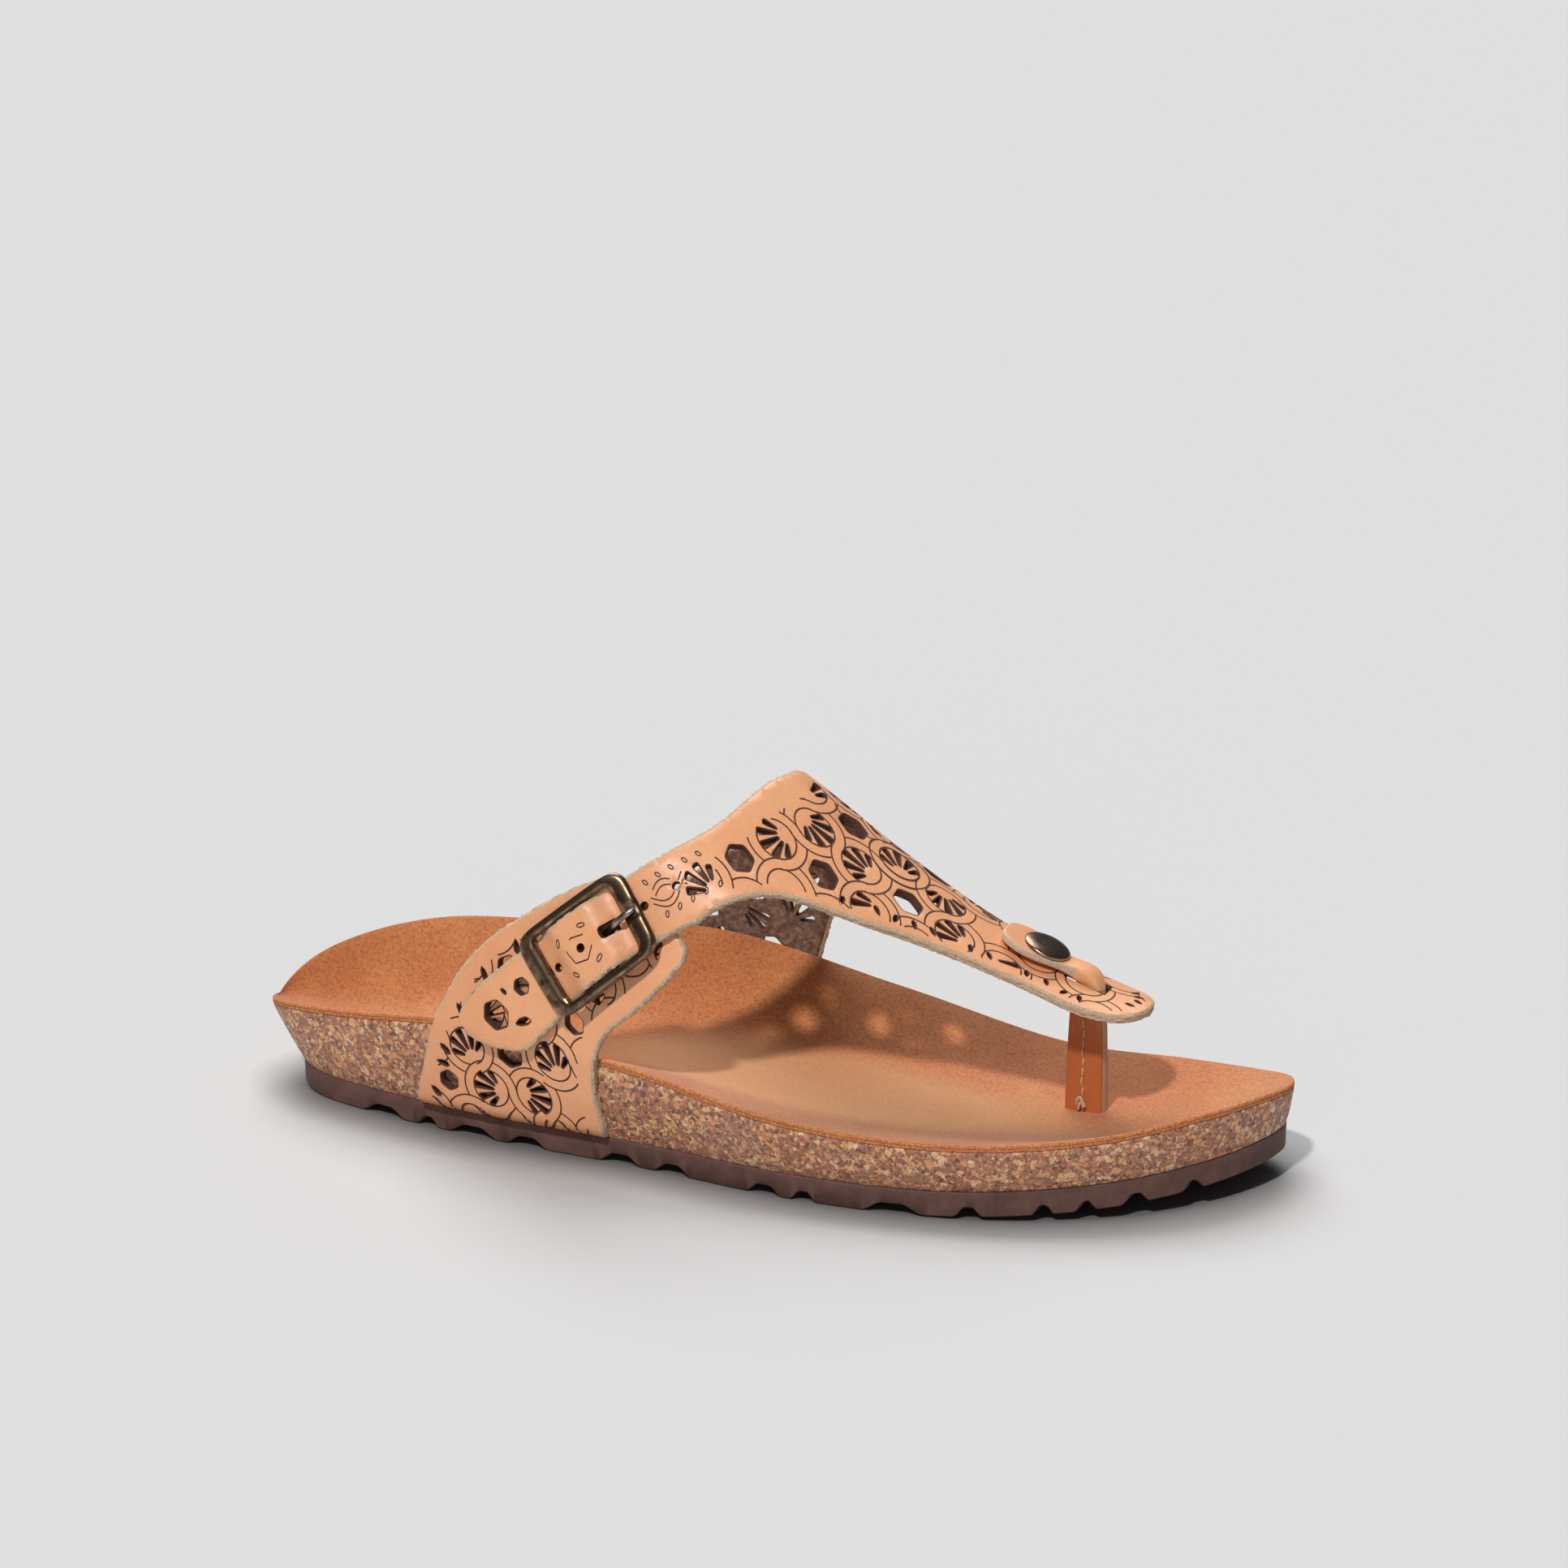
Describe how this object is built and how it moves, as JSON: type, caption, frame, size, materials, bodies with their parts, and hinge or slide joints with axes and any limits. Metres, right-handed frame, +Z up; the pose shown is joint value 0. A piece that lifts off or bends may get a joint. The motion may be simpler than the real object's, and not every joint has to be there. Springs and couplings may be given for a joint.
{
  "type": "toe-post sandal",
  "caption": "Backless toe-post sandal with a contoured cork footbed, an openwork leather upper over the instep and one side buckle; right foot.",
  "frame": {"origin": "middle of the sole's plan, on the floor", "axes": "+X to the toe, +Y to the inner side of the foot, +Z up"},
  "size_m": [0.262, 0.0894, 0.0912],
  "materials": {
    "leather": "smooth natural veg-tanned",
    "suede": "suede nap",
    "cork": "sealed cork granulate",
    "eva": "matt foam",
    "brass": "dark antique"
  },
  "bodies": {
    "root": {"outsole": "eva", "midsole": "cork", "insole": "suede", "upper_strap": "leather", "side_panel": "leather", "buckle_frame": "brass", "buckle_prong": "brass", "chape": "leather", "toe_post": "leather", "toe_rivet": "brass"}
  },
  "joints": []
}
